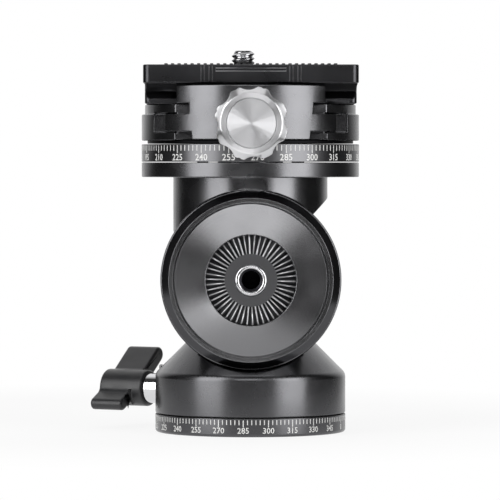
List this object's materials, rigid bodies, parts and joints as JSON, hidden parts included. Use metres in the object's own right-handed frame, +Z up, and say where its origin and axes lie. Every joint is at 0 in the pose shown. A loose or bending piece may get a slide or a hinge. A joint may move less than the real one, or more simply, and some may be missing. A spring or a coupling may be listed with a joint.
{
  "type": "fluid video head",
  "caption": "Compact fluid pan and tilt head with a toothed handle rosette, a wing pan lock, and a panning dovetail clamp that holds a ridged quick release plate.",
  "frame": {"origin": "centre of the base's underside, on the pan axis, at the mouth of the tripod thread", "axes": "+Z up along the pan axis, +X the direction the arm leans to in a positive tilt, the toothed handle rosette faces -Y, and the tilt axis runs along Y"},
  "size_m": [0.0749, 0.0752, 0.1051],
  "materials": {
    "housing_black": "satin black anodised",
    "arm_grey": "satin dark grey anodised",
    "cover_grey": "turned, dark grey anodised",
    "rosette_grey": "milled, dark grey anodised",
    "scale_grey": "satin grey anodised with engraved white marks",
    "clamp_black": "satin black anodised",
    "seam_black": "dull black anodised",
    "plate_black": "satin black anodised",
    "inner_alu": "machined",
    "silver_knob": "satin clear anodised",
    "knob_black": "moulded",
    "chrome": "polished",
    "steel": "machined",
    "dark_steel": "black oxide",
    "brass": "machined",
    "rubber": "moulded",
    "level_glass": "clear, tinted"
  },
  "bodies": {
    "base": {"base_ring": "housing_black", "base_pad": "rubber", "pan_spindle": "steel", "pan_drum": "inner_alu", "base_screws": "dark_steel", "pan_bearing": "steel", "pan_nut": "steel", "pan_seal": "rubber"},
    "turret": {"body_housing": "housing_black", "pan_rotor": "inner_alu", "rotor_screws": "dark_steel", "pan_lock_bush": "chrome", "level_cup": "chrome", "level_vial": "level_glass", "column_cap": "inner_alu", "cap_screws": "dark_steel", "tilt_bearings": "steel", "stator_plates": "inner_alu", "rear_trunnion": "steel", "trunnion_screws": "dark_steel"},
    "pan_shoe": {"pan_brake_shoe": "brass"},
    "pan_knob": {"pan_lock_knob": "knob_black", "pan_lock_screw": "steel"},
    "arm": {"tilt_arm": "arm_grey", "tilt_axle": "steel", "rotor_discs": "brass", "axle_clip": "dark_steel", "front_cover": "cover_grey", "front_rosette": "rosette_grey", "handle_insert": "steel", "rear_cover": "cover_grey", "rear_bush": "brass", "cover_screws": "dark_steel", "top_scale_ring": "scale_grey", "ring_screws": "dark_steel", "top_bearing": "steel", "top_lock_bush": "brass"},
    "tilt_brake": {"tilt_brake_disc": "brass"},
    "tilt_knob": {"tilt_lock_knob": "knob_black", "tilt_lock_screw": "steel"},
    "top_shoe": {"top_brake_shoe": "brass"},
    "top_knob": {"top_lock_knob": "knob_black", "top_lock_screw": "steel"},
    "clamp": {"clamp_body": "clamp_black", "clamp_spindle": "seam_black", "spindle_nut": "steel", "spindle_screws": "dark_steel", "guide_pins": "steel", "jaw_springs": "steel"},
    "jaw": {"clamp_jaw": "clamp_black"},
    "jaw_knob": {"clamp_knob": "silver_knob", "clamp_screw": "steel"},
    "plate": {"quick_plate": "plate_black", "plate_pad": "rubber", "stop_screws": "steel"},
    "retainer": {"screw_retainer": "steel"},
    "screw": {"camera_screw": "steel"}
  },
  "joints": [
    {"name": "base_pan", "type": "hinge", "parent": "base", "child": "turret", "pos_m": [0, 0, 0], "axis": [0, 0, 1], "continuous": true},
    {"name": "pan_brake", "type": "slide", "parent": "turret", "child": "pan_shoe", "axis": [-0.866, 0.5, 0], "range_m": [0, 0.00025]},
    {"name": "pan_lock_turn", "type": "hinge", "parent": "pan_shoe", "child": "pan_knob", "pos_m": [0, 0, 0.011], "axis": [-0.866, 0.5, 0], "range_deg": [0, 60]},
    {"name": "tilt", "type": "hinge", "parent": "turret", "child": "arm", "pos_m": [0, 0, 0.0424], "axis": [0, 1, 0], "range_deg": [-75, 90]},
    {"name": "tilt_brake", "type": "slide", "parent": "turret", "child": "tilt_brake", "axis": [0, 1, 0], "range_m": [0, 0.00025]},
    {"name": "tilt_lock_turn", "type": "hinge", "parent": "tilt_brake", "child": "tilt_knob", "pos_m": [0, 0, 0.0424], "axis": [0, 1, 0], "range_deg": [0, 90]},
    {"name": "top_pan", "type": "hinge", "parent": "arm", "child": "clamp", "pos_m": [0, 0, 0.08], "axis": [0, 0, 1], "continuous": true},
    {"name": "top_brake", "type": "slide", "parent": "arm", "child": "top_shoe", "axis": [0, 0, -1], "range_m": [0, 0.00025]},
    {"name": "top_lock_turn", "type": "hinge", "parent": "top_shoe", "child": "top_knob", "pos_m": [0, 0.0272, 0.0698], "axis": [0, 0, -1], "range_deg": [0, 90]},
    {"name": "jaw_slide", "type": "slide", "parent": "clamp", "child": "jaw", "axis": [0, -1, 0], "range_m": [0, 0.004], "deforming": ["jaw_springs"]},
    {"name": "clamp_knob_turn", "type": "hinge", "parent": "jaw", "child": "jaw_knob", "pos_m": [0, 0, 0.0848], "axis": [0, -1, 0], "range_deg": [0, 1800]},
    {"name": "plate_slide", "type": "slide", "parent": "clamp", "child": "plate", "axis": [1, 0, 0], "range_m": [-0.0037, 0.0037]},
    {"name": "screw_slide", "type": "slide", "parent": "plate", "child": "retainer", "axis": [1, 0, 0], "range_m": [-0.011, 0.015]},
    {"name": "camera_screw_turn", "type": "hinge", "parent": "retainer", "child": "screw", "pos_m": [-0.002, 0, 0.095], "axis": [0, 0, 1], "continuous": true}
  ],
  "couplings": [
    {"joint": "pan_lock_turn", "follows": "pan_brake", "rad_per_m": 4188.8},
    {"joint": "tilt_lock_turn", "follows": "tilt_brake", "rad_per_m": 6283.2},
    {"joint": "top_lock_turn", "follows": "top_brake", "rad_per_m": 6283.2},
    {"joint": "clamp_knob_turn", "follows": "jaw_slide", "rad_per_m": 7854}
  ]
}
